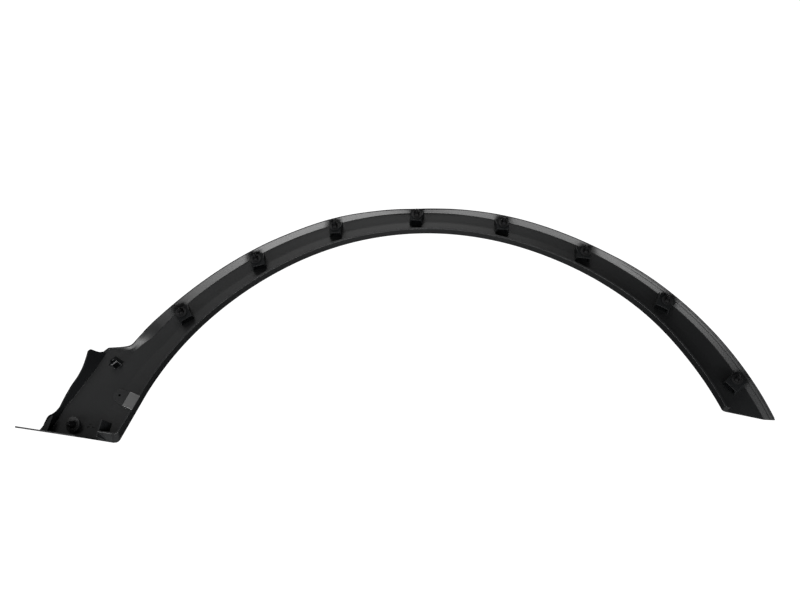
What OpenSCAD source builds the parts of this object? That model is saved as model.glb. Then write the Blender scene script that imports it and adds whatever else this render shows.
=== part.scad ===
// Wheel arch trim for a car: one long moulding on push-in clips, seen from its hidden side.
// Millimetres. +Z is up on the car, +X runs along the car and -Y points in to the body panel.
// The origin is the seat of the crown clip, on the face of the body panel.
// Sections are drawn as [distance from the wheel centre, depth], and depth 0 is the show face.

/* [Arch] */
// Radius of the wheel opening edge
arch_r = 375; // [360:1:390]
// Angle of the right end where it meets the lip
right_end_angle = 71.2; // [69.5:0.1:73]
// How much further round the right end reaches at its outer edge
right_end_slant = 4.4; // [2:0.1:6]
// Angle of the left end at the bottom of the foot, where it meets the lip
left_end_angle = 76.6; // [75.5:0.1:78]
// How much further round the left end reaches at the fold line
left_end_slant = 0.8; // [0:0.1:1.6]
// Angle below which the opening edge runs straight down the foot
straight_from = 67.3; // [64:0.1:70]
// How far the opening edge stands inside its circle on the left flank
opening_left_in = 2.6; // [0:0.1:4]
// How far it stands inside on the right, above the flank
opening_right_in = 1.8; // [0:0.1:3]
// How far it stands inside near the right end
opening_end_in = 1.5; // [0:0.1:3]

/* [Band] */
// Band width over the foot shoulder
shoulder_w = 51; // [46:0.5:56]
// Band width on the left flank
left_flank_w = 42.7; // [38:0.1:46]
// Band width left of the crown
left_top_w = 38.6; // [35:0.1:42]
// Band width between there and the crown
left_high_w = 38; // [35:0.1:41]
// Band width at the crown
crown_w = 35.8; // [33:0.1:40]
// Band width right of the crown
right_top_w = 34.8; // [33:0.1:40]
// Band width between there and the right flank
right_high_w = 36.3; // [34:0.1:40]
// Band width on the right flank
right_flank_w = 40.2; // [36:0.1:46]
// Band width below the right flank
right_low_w = 45; // [42:0.1:49]
// Band width at the right end
right_end_w = 51.9; // [46:0.1:56]
// Width of the sloped margin at the crown
margin_crown = 4.8; // [4.2:0.1:7]
// Width of the sloped margin at the right end
margin_end = 11; // [8:0.1:14]
// Width of the sloped margin on the left flank
margin_left = 6; // [4.4:0.1:9]

/* [Section] */
// Wall of the moulding
wall = 2.5; // [2:0.1:3]
// Depth of the wheel side lip at the crown
lip_crown = 13.5; // [11.5:0.1:16]
// Depth of the wheel side lip at the ends
lip_end = 16; // [13:0.1:18]
// Wall of the wheel side lip
lip_wall = 2.6; // [2:0.1:3.4]
// Radius of the show corner along the lip
corner_r = 3; // [2:0.1:4]
// Depth of the rim that follows the outer edge
rim_depth = 9; // [7.5:0.1:10.5]
// Flat of the rim outside the sloped margin
rim_flat = 1.5; // [1.2:0.1:2.2]
// Height of the bead on the rim
bead_h = 1.2; // [0.8:0.1:2]
// Thickness of the bead on the rim
bead_w = 1.2; // [1:0.1:1.6]
// Hollow of the face between lip and margin
face_bow = 0.6; // [0:0.1:1.2]

/* [Foot] */
// Width of the foot at the shoulder, from the round opening edge to the fold
foot_top_w = 78.8; // [76:0.1:82]
// Width of the foot halfway down
foot_middle_w = 83; // [80:0.1:86]
// Width of the foot above the flange notch
foot_low_w = 89; // [86:0.1:92]
// Width of the foot at the bottom
foot_bottom_w = 97; // [93:0.1:100]
// Height of the level shoulder over the wheel centre, as a share of the opening radius
shoulder_share = 0.568; // [0.56:0.001:0.576]
// Distance from the opening edge at which the sloped margin fans out on the shoulder
fan_out = 43.5; // [41:0.5:46]
// Height of the flange wall at its top corner
wall_top_h = 20; // [17:0.5:22]
// Height of the flange wall at its waist
wall_waist_h = 10.7; // [8.5:0.1:12.5]
// Height of the flange wall at its notch
wall_notch_h = 5.7; // [4:0.1:7.5]
// Height of the flange wall at the bottom
wall_bottom_h = 11.7; // [9:0.1:14]
// Outward lean of the flange wall from the clip direction
wall_lean = 30; // [20:1:40]

/* [Bottom flange] */
// Slope of the bottom flange towards the body
flange_slope = 14.9; // [10:0.1:20]
// Depth of the bottom flange
flange_depth = 36; // [28:0.5:44]
// Reach of the bottom flange past the fold line
flange_reach = 26; // [18:0.5:34]
// Thickness of the bottom flange
flange_t = 1.8; // [1.4:0.1:2.4]
// Length of the bottom lip from the corner
bottom_lip_l = 24; // [18:0.5:28]
// Lean of the bottom lip over the foot panel
bottom_lip_lean = 6; // [3:0.5:8]
// Length of the stiffening rib that stands on the foot panel
rib_l = 22; // [16:0.5:26]
// Thickness of the stiffening rib
rib_t = 1.8; // [1.4:0.1:2.4]
// Outward lean of the stiffening rib
rib_lean = 38; // [24:1:44]

/* [Liner tab] */
// Width of the tongue that holds the wheel liner
tongue_w = 19; // [14:0.5:24]
// Reach of the tongue from the lip
tongue_reach = 11; // [8:0.5:14]
// Thickness of the tongue
tongue_t = 1.6; // [1.2:0.1:2.2]
// Diameter of the liner screw hole in its pad
liner_hole_d = 3.2; // [2.6:0.1:4]
// Wall left between the end of that hole and the show face
liner_hole_floor = 0.7; // [0.5:0.1:1.2]
// Radius of the round end of the pad
pad_r = 8; // [7:0.1:10]
// Height of the pad on the foot panel
pad_h = 1.2; // [0.8:0.1:2]

/* [Clip towers] */
// Width of a clip tower across its top
tower_w = 14.4; // [14:0.1:15.4]
// Reach of a clip tower from the clip to its back
tower_back = 7.3; // [6.6:0.1:8]
// Reach of a clip tower from the clip to its mouth
tower_front = 8.8; // [8:0.1:10]
// Draft of the tower cheeks, down to the face
tower_draft = 1.4; // [1:0.1:2.2]
// Wall of a clip tower
tower_wall = 1.6; // [1.2:0.1:2]
// Gap between the tower top and the body panel
tower_gap = 2; // [1.6:0.1:2.6]
// Thickness of the tower top that holds the clip
tower_top = 1.8; // [1.4:0.1:2.2]
// Clearance of the clip neck in its slot, all round
neck_clearance = 0.25; // [0.15:0.05:0.5]
// Width of the small empty tower on the foot
empty_tower_w = 9.8; // [9.4:0.1:11]
// Thickness of the stop finger beside each tower
fin_t = 1.2; // [1:0.1:1.6]
// Reach of that finger from the tower cheek
fin_reach = 3.4; // [2.4:0.1:4.4]

/* [Push clips] */
// Diameter of the clip neck
neck_d = 6; // [5:0.1:7]
// Diameter of the clip collar that rests on the tower
collar_d = 11; // [9.6:0.1:12]
// Thickness of the clip collar
collar_t = 0.9; // [0.6:0.1:1.2]
// Diameter of the clip foot inside the tower
clip_foot_d = 8.4; // [7.8:0.1:8.6]
// Thickness of the clip foot
clip_foot_t = 1.4; // [1:0.1:2]
// Diameter of the panel hole that the clip snaps into
panel_hole_d = 8; // [7.4:0.1:9]
// Clearance of the clip shoulder in the panel hole, all round
shoulder_clearance = 0.1; // [0.05:0.05:0.3]
// Length of that shoulder, which fills the panel hole
shoulder_l = 1.4; // [1:0.1:1.8]
// Length of the clip head past the panel face
head_l = 12.5; // [10:0.1:16]
// Spread of the barbs beyond the panel hole, on each side
barb = 0.12; // [0.06:0.01:0.15]
// Width of the slots that part the head into spring legs
leg_slot = 1.4; // [1:0.1:1.8]
// Diameter of the washer bore and of the shank inside it
washer_bore_d = 5.2; // [4.4:0.1:5.6]
// Diameter of the soft sealing washer
seal_d = 13.6; // [12.6:0.1:15]

/* [Foot clip] */
// Diameter of the boss that the foot clip is pressed into
foot_boss_d = 14; // [12:0.5:16]
// Height of that boss on the foot panel
foot_boss_h = 4; // [3:0.1:6]
// Diameter of the foot clip stem in its bore
foot_stem_d = 5; // [4:0.1:6]
// Height of the closed end of that bore over the foot panel
foot_bore_floor = 1.3; // [1.2:0.1:2]
// Diameter of the large washer of the foot clip
foot_seal_d = 19; // [16:0.5:22]
// Thickness of that washer
foot_seal_t = 1.4; // [1:0.1:2]
// Diameter of the foot clip head
foot_head_d = 9; // [8:0.1:10]
// Length of the foot clip head
foot_head_l = 10; // [8:0.1:13]
// Lean of the foot clip, out and down
foot_clip_tilt = 22; // [14:1:28]

/* [Edge seal] */
// Height of the soft seal above the rim
edge_seal_h = 3; // [2.2:0.1:4]
// Foot width of the soft seal on the rim
edge_seal_w = 1.3; // [1.1:0.1:1.4]

/* [Hidden] */
$fn = 40;

// Depth of the body panel face, which the clip washers rest on
panel_depth = 15;

// Clip places: angle from the top, distance out from the opening edge, turn of the tower
clip_angles = [-50.4, -33.5, -17.2, -1.3, 15.5, 31.9, 49.1, 67.3];
clip_out = [27, 24, 24, 22.5, 21.5, 21.5, 28, 30];
tower_turn = [-34, -16, -2, 4, 3, 9, 30, 52];
// What each tower adds to the common width and to the reach of its mouth, and how far it stands
// to the right of its clip
tower_wider = [2, 2, 0, 0.8, 1, 3, 3, 3];
tower_longer = [1.6, 0.8, 0.6, -1, 0, 0, 1.6, 3];
tower_shift = [1.6, 1.8, 0.2, -0.8, -1.5, -1.8, -1.8, 1];
crown_clip = 3;

// The small empty tower on the foot
empty_angle = -63.7;
empty_out = 53;
empty_turn = -30;
empty_lean = 25;
empty_side_lean = 18;
empty_gap = 3.5;

// Distances of the fold line from the wheel centre, and the height of the shoulder over it
fold_top_r = arch_r + foot_top_w;
fold_middle_r = arch_r + foot_middle_w;
fold_low_r = arch_r + foot_low_w;
fold_bottom_r = arch_r + foot_bottom_w;
shoulder_z = shoulder_share * arch_r;
// How much the fan narrows for each degree down the shoulder, and the angle where it starts
fan_narrowing = 1.5;
fan_angle = 59;

// Wheel centre in the part's own frame
wheel_x = -(arch_r + clip_out[crown_clip]) * sin(clip_angles[crown_clip]);
wheel_z = -(arch_r + clip_out[crown_clip]) * cos(clip_angles[crown_clip]);

// Numbers between 0 and 1 that ease in and out
function ease(x) = x <= 0 ? 0 : x >= 1 ? 1 : x * x * (3 - 2 * x);
function mix(a, b, x) = a + (b - a) * x;
// The larger and the smaller of two lengths, with a rounded change over
function round_max(a, b, r) = (a + b + sqrt((a - b) * (a - b) + r * r)) / 2;
function round_min(a, b, r) = (a + b - sqrt((a - b) * (a - b) + r * r)) / 2;
// Curves through [angle, value] stops: smooth ones, and straight runs between the stops
function slope_at(stops, i) =
    let (before = max(i - 1, 0), after = min(i + 1, len(stops) - 1))
    (stops[after][1] - stops[before][1]) / (stops[after][0] - stops[before][0]);
function stop_before(stops, a, i = 0) =
    i >= len(stops) - 2 || a < stops[i + 1][0] ? i : stop_before(stops, a, i + 1);
function through(stops, a) =
    let (
        i = stop_before(stops, a),
        gap = stops[i + 1][0] - stops[i][0],
        x = min(max((a - stops[i][0]) / gap, 0), 1)
    )
    stops[i][1] * (1 + 2 * x) * (1 - x) * (1 - x)
    + stops[i + 1][1] * x * x * (3 - 2 * x)
    + gap * slope_at(stops, i) * x * (1 - x) * (1 - x)
    + gap * slope_at(stops, i + 1) * x * x * (x - 1);
function stepped(stops, a) =
    let (
        i = stop_before(stops, a),
        x = (a - stops[i][0]) / (stops[i + 1][0] - stops[i][0])
    )
    mix(stops[i][1], stops[i + 1][1], min(max(x, 0), 1));

width_stops = [
    [-60, shoulder_w], [-46, left_flank_w], [-28, left_top_w], [-17, left_high_w], [0, crown_w],
    [22, right_top_w], [34, right_high_w], [44, right_flank_w], [60, right_low_w],
    [right_end_angle + right_end_slant, right_end_w]
];
// The opening edge is a circle only at the crown and on the foot, and stands inside it between
opening_stops = [
    [-66, 0], [-58, -0.35 * opening_left_in], [-50, -0.73 * opening_left_in], [-42, -opening_left_in],
    [-33, -0.96 * opening_left_in], [-24, -0.54 * opening_left_in], [-14, -0.12 * opening_left_in],
    [0, 0], [14, -0.55 * opening_right_in], [26, -opening_right_in], [38, -0.62 * opening_right_in],
    [48, -0.2 * opening_right_in], [60, -opening_end_in], [right_end_angle, -0.85 * opening_end_in]
];
// Free edge of the flange wall, up the foot from its bottom corner to the shoulder
wall_stops = [
    [-77.4, wall_bottom_h - 7.4], [-76.4, wall_bottom_h - 3.3], [-75.7, wall_bottom_h - 1.2],
    [-74.9, wall_bottom_h], [-74.5, wall_bottom_h - 0.6], [-74.1, mix(wall_notch_h, wall_bottom_h, 0.4)],
    [-73.6, wall_notch_h + 0.7], [-73, wall_notch_h], [-71.3, mix(wall_notch_h, wall_waist_h, 0.6)],
    [-69.9, wall_waist_h], [-68.4, mix(wall_waist_h, wall_top_h, 0.08)],
    [-67, mix(wall_waist_h, wall_top_h, 0.29)], [-65.8, mix(wall_waist_h, wall_top_h, 0.59)],
    [-64.35, wall_top_h], [-63.86, wall_top_h * 0.92], [-63.62, wall_top_h * 0.59],
    [-63.35, wall_top_h * 0.35], [-62.9, wall_top_h * 0.16], [-62, bead_h]
];
fold_stops = [
    [-77.2, fold_bottom_r], [-75.2, (fold_low_r + fold_bottom_r) / 2 - 1.4], [-73.2, fold_low_r],
    [-70, fold_middle_r], [-67.2, mix(fold_top_r, fold_middle_r, 0.1)], [-65, fold_top_r - 0.8],
    [-62, fold_top_r]
];

// Angles where the band begins to turn into the foot and into the slanted right end, and where
// the sloped margin begins to grow on the right
foot_from = -58;
slant_from = 58;
margin_from = 24;
// 0 on the arch and 1 on the flat foot panel
function foot_share(a) = ease((foot_from - a) / 4);
// Opening edge, with a rounded corner at both ends of the lip
function end_corner(gap, r) =
    gap >= r ? 0 : r - sqrt(r * r - (r - max(0, gap)) * (r - max(0, gap)));
function opening_r(a) =
    (a < -straight_from ? arch_r / cos(a + straight_from) : arch_r + through(opening_stops, a))
    + end_corner((a + left_end_angle) * arch_r * PI / 180, 4.5)
    + end_corner((right_end_angle - a) * arch_r * PI / 180, 2.2);
// Outer edge: the band, then the level shoulder, then the fold of the foot
function fold_at(a) = through(fold_stops, a);
function band_r(a) = arch_r + through(width_stops, a);
function edge_r(a) =
    a > -54 ? band_r(a)
    : round_min(round_max(band_r(a), shoulder_z / cos(a), 7), fold_at(a), 1.5);
function lip_depth(a) = mix(lip_crown, lip_end, ease(abs(a) / 60));
// The sloped margin, which fans out and fades away across the shoulder
function margin_w(a) =
    a > 0 ? mix(margin_crown, margin_end, ease((a - margin_from) / 60))
    : mix(margin_crown, margin_left, ease(-a / 50));
function margin_start(a) =
    mix(
        edge_r(a) - margin_w(a), arch_r + fan_out - fan_narrowing * (a + fan_angle),
        ease((4 - fan_angle - a) / 4)
    );
function rim_back(a) = mix(rim_depth, wall, foot_share(a));
function wall_h(a) = a < -62 ? stepped(wall_stops, a) : bead_h;
function wall_run(a) = a < -62 ? wall_h(a) * tan(wall_lean) : 0;
function fold_wall(a) = mix(bead_w, wall - 0.3, foot_share(a));

function unit(v) = v / norm(v);
// A corner point cut back to two points, so that the change of direction is softer
function bend(p, before, after, reach) = [p - before * reach, p + after * reach];
// Section of the moulding at one angle, as points [radius, depth] in order round the wall
function section(a) =
    let (
        r0 = opening_r(a),
        lip = lip_depth(a),
        edge = edge_r(a),
        back = rim_back(a),
        tip_w = fold_wall(a),
        rim_in = edge - rim_flat - tip_w,
        start = margin_start(a),
        along = [1, 0],
        rise = unit([rim_in - start, back - wall]),
        up = unit([wall_run(a), wall_h(a)]),
        shift = wall * tan(atan2(rise[1], rise[0]) / 2),
        top = [edge - tip_w + wall_run(a), back + wall_h(a)],
        inner = r0 + lip_wall,
        middle = (inner + start) / 2
    )
    concat(
        [for (k = [0:2]) [
            r0 + corner_r * (1 - cos(k * 45)), corner_r * (1 - sin(k * 45))
        ]],
        [[middle, -face_bow]],
        bend([start + shift, 0], along, rise, 1.4),
        [[rim_in + shift, back - wall], [edge, back - wall]],
        [top + [up[1], -up[0]] * tip_w, top],
        [[edge - tip_w, back]],
        bend([rim_in, back], -along, -rise, 0.6),
        bend([start, wall], -rise, -along, 1.4),
        [[middle, wall - face_bow]],
        [[inner + 1.6, wall], [inner, wall + 1.6]],
        [[inner, lip - 0.5], [inner - 0.5, lip], [r0 + 0.5, lip], [r0, lip - 0.5]]
    );

// Point of the part at an angle, a distance from the wheel centre and a depth
function place(a, p) = [
    wheel_x + p[0] * sin(a), panel_depth - p[1], wheel_z + p[0] * cos(a)
];
// Both ends run on a slant: points further out lie further round.
// The end of the lip leans back with depth, to meet the bottom lip
lip_end_lean = asin(bottom_lip_lean / arch_r);
share_from = straight_from + 0.7;
function left_share(a) = ease((-share_from - a) / (left_end_angle - share_from));
function right_share(a) = ease((a - slant_from) / (right_end_angle - slant_from));
function slanted(a, p) =
    a + right_end_slant * right_share(a) * (p[0] - arch_r) / right_end_w
    - left_end_slant * left_share(a) * (p[0] - arch_r) / (fold_bottom_r - arch_r)
    + lip_end_lean * left_share(a) * (1 - ease((p[0] - arch_r - 8) / 16)) * p[1] / lip_end;

stations = concat(
    [for (d = [0, 0.2, 0.6, 1.4, 2.4, 3.4]) d - left_end_angle],
    [for (a = [-72.4:1.3:-65]) a],
    [for (a = [-64.6:0.4:-62.6]) a],
    [for (a = [-62.2:0.55:-57.6]) a],
    [for (a = [-56.5:3:64]) a],
    [for (d = [3.6, 1.6, 0.5, 0.15, 0]) right_end_angle - d]
);

// Triangles that close the ends of the moulding, as numbers of points in its section:
// the lip, the show corner, the face, the sloped margin and the rim
end_caps = [
    [0, 17, 18], [0, 18, 21], [18, 19, 21], [19, 20, 21],
    [0, 1, 17], [1, 2, 17], [2, 16, 17],
    [2, 3, 15], [2, 15, 16], [3, 4, 14], [3, 14, 15],
    [4, 5, 13], [4, 13, 14], [5, 6, 12], [5, 12, 13],
    [6, 7, 11], [6, 11, 12], [7, 8, 9], [7, 9, 10], [7, 10, 11]
];

// A closed skin through one ring of points for each station
module loft(rings, caps) {
    n = len(rings[0]);
    m = len(rings);
    points = [for (ring = rings) for (p = ring) p];
    sides = [
        for (i = [0:m - 2]) for (j = [0:n - 1])
            let (k = (j + 1) % n, p = i * n, q = p + n)
            each [[p + j, q + k, p + k], [p + j, q + j, q + k]]
    ];
    first = caps;
    last = [for (t = caps) [for (j = [2:-1:0]) (m - 1) * n + t[j]]];
    polyhedron(points = points, faces = concat(sides, first, last), convexity = 12);
}

module shell() {
    loft([for (a = stations) [for (p = section(a)) place(slanted(a, p), p)]], end_caps);
}

// Children drawn with Z pointing out from the wheel centre, Y into the trim, at the panel face
module at_arch(a, out, turn) {
    translate([wheel_x + (arch_r + out) * sin(a), 0, wheel_z + (arch_r + out) * cos(a)])
        rotate([0, turn, 0])
            children();
}

// A box with drafted cheeks, an open mouth towards the wheel and a hole for the clip neck
module tower(w, front, back, draft, shift, gap) {
    floor_y = panel_depth - wall;
    neck = neck_d + 2 * neck_clearance;
    difference() {
        translate([shift, 0, -front])
            linear_extrude(front + back)
                polygon([
                    [-w / 2, gap], [w / 2, gap],
                    [w / 2 + draft, floor_y + 1], [-w / 2 - draft, floor_y + 1]
                ]);
        translate([shift - w / 2 + tower_wall, gap + tower_top, -front - 1])
            cube([w - 2 * tower_wall, floor_y - 0.5 - gap - tower_top, front + back - tower_wall + 1]);
        rotate([-90, 0, 0])
            cylinder(d = neck, h = gap + tower_top + 0.5);
    }
}

// The thin stop finger that stands out from the back corner of a tower
module tower_fin(w, back, shift, side) {
    translate([shift, 0, 0])
        mirror([side < 0 ? 1 : 0, 0, 0])
            translate([w / 2 - 0.4, tower_gap - 1, 0])
                rotate([-90, 0, 0])
                    linear_extrude(panel_depth - wall + 1.5 - tower_gap)
                        polygon([
                            [-0.6, 1.4], [0.6, 1.4], [fin_reach, -back * 0.8],
                            [fin_reach - fin_t, -back * 0.9]
                        ]);
}

module towers() {
    for (i = [0:len(clip_angles) - 1])
        at_arch(clip_angles[i], clip_out[i], tower_turn[i]) {
            tower(
                tower_w + tower_wider[i], tower_front + tower_longer[i], tower_back,
                tower_draft, tower_shift[i], tower_gap
            );
            tower_fin(tower_w + tower_wider[i], tower_back, tower_shift[i], i <= crown_clip ? 1 : -1);
        }
}

// The small tower that holds no clip leans away from the wheel
module empty_tower() {
    at_arch(empty_angle, empty_out, empty_turn)
        translate([0, panel_depth, 0])
            rotate([-empty_lean, 0, -empty_side_lean])
                translate([0, -panel_depth, 0])
                    tower(empty_tower_w, empty_tower_w / 2, empty_tower_w / 2, 0.4, 0, empty_gap);
}

// Children drawn in the frame of the left end: Z runs out along the end, X up the foot
left_end_turn = left_end_angle + 4.1;
corner_out = opening_r(-left_end_angle) - 4.5;
module at_left_end() {
    translate(place(-left_end_angle, [corner_out, 0]))
        rotate([0, -left_end_turn, 0])
            children();
}
// Length of the end from the lip corner to the fold line
end_l = fold_at(-left_end_angle) - corner_out;

// The thin flange under the foot, which reaches in to the body
module bottom_flange() {
    reach = end_l + flange_reach;
    at_left_end()
        rotate([0, 0, -flange_slope])
            rotate([0, -90, 0])
                mirror([0, 0, 1])
                    linear_extrude(flange_t)
                        polygon([
                            [bottom_lip_l + 2, 0], [bottom_lip_l + 6, -flange_depth * 0.7],
                            [bottom_lip_l + 16, -flange_depth], [reach - 6, -flange_depth],
                            [reach, -flange_depth + 4], [reach - 7, -flange_depth * 0.45], [end_l + 1, 0]
                        ]);
}

// The lip that closes the bottom of the foot beside the rounded corner
module bottom_lip() {
    depth = lip_depth(-left_end_angle) - 0.3;
    at_left_end()
        translate([0, 0, 2.5])
            linear_extrude(bottom_lip_l - 2.5)
                polygon([
                    [0.3, -0.6], [wall + 1, -0.6], [bottom_lip_lean + 1.6, -depth],
                    [bottom_lip_lean, -depth]
                ]);
}

// The small web that ties the free edge of the flange wall to the bottom flange
web_w = 5.3;
module gusset() {
    at_left_end()
        translate([0, -wall_bottom_h - 0.6, 0])
            rotate([90, 0, 0])
                linear_extrude(1.6)
                    polygon([
                        [-3, end_l - web_w], [18, end_l - web_w - 0.5],
                        [17.5, end_l - web_w + 2], [-3, end_l + 10 - web_w]
                    ]);
}

// The stiffening rib that stands across the end of the bottom lip
module stiffening_rib() {
    depth = lip_depth(-left_end_angle) - 3;
    foot = bottom_lip_l - depth * tan(rib_lean) + 1;
    rise = depth - wall + 0.8;
    run = rise * tan(rib_lean);
    at_left_end()
        translate([0.6, -wall + 0.8, foot])
            rotate([0, 90, 0])
                linear_extrude(rib_l)
                    polygon([[0, 0], [-rib_t, 0], [-rib_t - run, -rise], [-run, -rise]]);
}

// The pad with the liner screw hole, and its place on the foot panel
pad_up = 58.8;
pad_across = 16.6;
module liner_pad() {
    at_left_end()
        translate([pad_up, -wall + 0.4, pad_across])
            rotate([90, 0, 0])
                linear_extrude(pad_h + 0.4) {
                    circle(pad_r);
                    polygon([
                        [pad_r * 0.95, 2], [4, -24], [-15.4, -21], [-15.4, -10.6],
                        [-pad_r * 0.8, pad_r * 0.6]
                    ]);
                }
}
module liner_hole() {
    at_left_end()
        translate([pad_up, -liner_hole_floor, pad_across])
            rotate([90, 0, 0])
                cylinder(d = liner_hole_d, h = wall + pad_h);
}

// The tongue that reaches over the pad from the edge of the lip
tongue_up = 40;
module tongue() {
    depth = lip_depth(-left_end_angle);
    along = left_end_turn - straight_from;
    at_left_end()
        rotate([0, along, 0])
            translate([tongue_up, -depth, -0.4])
                rotate([8, 0, 0])
                    cube([tongue_w, tongue_t, tongue_reach + lip_wall]);
}

// Three small sunk marks beside the foot clip, each as [up, across, length, height]
mark_places = [[17.2, 40.9, 2.6, 1.3], [13.9, 42, 3.4, 2], [14.3, 35.6, 4, 1.5]];
mark_depth = 1.2;
module sunk_marks() {
    for (m = mark_places)
        at_left_end()
            translate([m[0] - m[3] / 2, -wall - 1, m[1] - m[2] / 2])
                cube([m[3], mark_depth + 1, m[2]]);
}

// The foot clip stands on a boss of its own, and leans out and down
foot_clip_up = 14;
foot_clip_in = 25;
foot_clip_across = fold_low_r - corner_out - foot_clip_in;
foot_clip_aim = -55;
module at_foot_clip() {
    at_left_end()
        translate([foot_clip_up, -wall, foot_clip_across])
            rotate([0, foot_clip_aim, 0])
                rotate([-foot_clip_tilt, 0, 0])
                    children();
}
module foot_boss() {
    at_foot_clip()
        rotate([90, 0, 0])
            difference() {
                translate([0, 0, -1.6])
                    cylinder(d = foot_boss_d, h = foot_boss_h + 1.6);
                translate([0, 0, foot_bore_floor])
                    cylinder(d = foot_stem_d, h = foot_boss_h);
            }
}

module arch_moulding() {
    color("#2d2f31")
        difference() {
            union() {
                shell();
                towers();
                empty_tower();
                bottom_flange();
                bottom_lip();
                gusset();
                stiffening_rib();
                liner_pad();
                tongue();
                foot_boss();
            }
            liner_hole();
            sunk_marks();
        }
}

// A soft strip that sits on the rim inside the bead and closes against the body panel
module edge_seal() {
    color("#1c1d1e")
        loft([
            for (a = stations) if (a > -57 && a < right_end_angle - 0.2) let (
                edge = edge_r(a) - bead_w,
                back = rim_back(a)
            )
            [for (p = [
                [edge - edge_seal_w, back], [edge, back], [edge, back + bead_h],
                [edge + bead_w, back + edge_seal_h], [edge - edge_seal_w, back + bead_h]
            ]) place(slanted(a, p), p)]
        ], [[0, 1, 2], [0, 2, 3], [0, 3, 4]]);
}

// Half outlines are drawn as [radius, height above the panel face], for a turned clip
module turned(outline) {
    rotate([90, 0, 0])
        rotate_extrude()
            polygon(outline);
}

module clip() {
    hole = panel_hole_d / 2;
    under = -tower_gap - tower_top - neck_clearance;
    shank = washer_bore_d / 2;
    shoulder = hole - shoulder_clearance;
    difference() {
        turned([
            [0, under - clip_foot_t], [clip_foot_d / 2, under - clip_foot_t], [clip_foot_d / 2, under],
            [neck_d / 2, under], [neck_d / 2, -tower_gap], [collar_d / 2, -tower_gap],
            [collar_d / 2 - 0.3, collar_t - tower_gap], [shank, collar_t - tower_gap],
            [shank, 0], [shoulder, 0], [shoulder, shoulder_l], [shoulder - 0.6, shoulder_l + 0.4],
            [hole + barb, shoulder_l + 1.6], [hole + barb, shoulder_l + 2.2], [hole + barb - 0.9, 5.2],
            [hole - 1.6, head_l * 0.72], [1.1, head_l - 0.6], [0.4, head_l], [0, head_l]
        ]);
        for (turn = [45, 135])
            rotate([0, turn, 0])
                translate([-panel_hole_d, -head_l * 0.62, -leg_slot / 2])
                    cube([2 * panel_hole_d, head_l * 0.62 - shoulder_l, leg_slot]);
    }
}

module arch_clip(i) {
    color("#141516")
        at_arch(clip_angles[i], clip_out[i], tower_turn[i])
            clip();
}

// A soft skirt between the clip collar and the body panel
module clip_washer(i) {
    bore = washer_bore_d / 2;
    color("#232526")
        at_arch(clip_angles[i], clip_out[i], tower_turn[i])
            turned([
                [bore, collar_t - tower_gap], [collar_d / 2 - 0.6, collar_t - tower_gap],
                [seal_d / 2, -0.5], [seal_d / 2, 0], [bore, 0]
            ]);
}

module foot_clip() {
    seat = foot_boss_h;
    head = foot_head_d / 2;
    color("#141516")
        at_foot_clip()
            turned([
                [0, foot_bore_floor], [foot_stem_d / 2, foot_bore_floor],
                [foot_stem_d / 2, seat + foot_seal_t],
                [head, seat + foot_seal_t], [head, seat + foot_seal_t + 2],
                [head - 0.7, seat + foot_seal_t + foot_head_l * 0.5],
                [head * 0.55, seat + foot_seal_t + foot_head_l * 0.85],
                [head * 0.25, seat + foot_seal_t + foot_head_l], [0, seat + foot_seal_t + foot_head_l]
            ]);
}

module foot_washer() {
    seat = foot_boss_h;
    color("#232526")
        at_foot_clip()
            turned([
                [foot_stem_d / 2, seat], [foot_seal_d / 2 - 0.5, seat], [foot_seal_d / 2, seat + 0.5],
                [foot_seal_d / 2, seat + foot_seal_t], [foot_seal_d / 2 - 1, seat + foot_seal_t],
                [foot_stem_d / 2, seat + foot_seal_t]
            ]);
}

arch_moulding();
edge_seal();
for (i = [0:7]) {
    arch_clip(i);
    clip_washer(i);
}
foot_clip();
foot_washer();
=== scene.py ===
# %% [markdown]
# A wheel arch trim seen from its hidden side. The real part is one long injection moulding in black
# plastic, with push clips in moulded towers and a soft seal along its outer edge. The imported CAD model
# gives every size. This lesson loads it, redraws the moulding with finer steps so that light runs
# smoothly along it, and gives each piece a finish.

import math

import bmesh
import bpy
from mathutils import Matrix, Vector


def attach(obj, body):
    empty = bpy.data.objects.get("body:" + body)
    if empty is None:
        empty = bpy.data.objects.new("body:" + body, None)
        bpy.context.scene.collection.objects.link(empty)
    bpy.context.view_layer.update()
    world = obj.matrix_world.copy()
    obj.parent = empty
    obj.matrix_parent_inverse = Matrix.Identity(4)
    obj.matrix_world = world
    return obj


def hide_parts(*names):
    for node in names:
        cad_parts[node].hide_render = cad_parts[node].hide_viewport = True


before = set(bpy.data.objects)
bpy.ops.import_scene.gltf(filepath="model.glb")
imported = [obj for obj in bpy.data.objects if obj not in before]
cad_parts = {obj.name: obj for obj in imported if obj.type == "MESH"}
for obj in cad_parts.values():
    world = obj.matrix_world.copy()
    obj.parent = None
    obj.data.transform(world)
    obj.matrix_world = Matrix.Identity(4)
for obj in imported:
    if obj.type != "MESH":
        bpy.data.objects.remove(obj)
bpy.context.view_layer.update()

# %% [markdown]
# The camera comes first. The part was photographed from below and in front of its clip side. The
# camera's place was worked out from the circle of the wheel opening, whose top and ends fix the
# distance and the tilt. A long lens that is far off would flatten the foot, so the true distance of
# about 1.2 m is kept.

# %% Camera
CAMERA_AT = (0.00785, -1.0163, -0.64798)
LOOKS_UP, TURNED_LEFT = 27.07, 1.70

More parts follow.
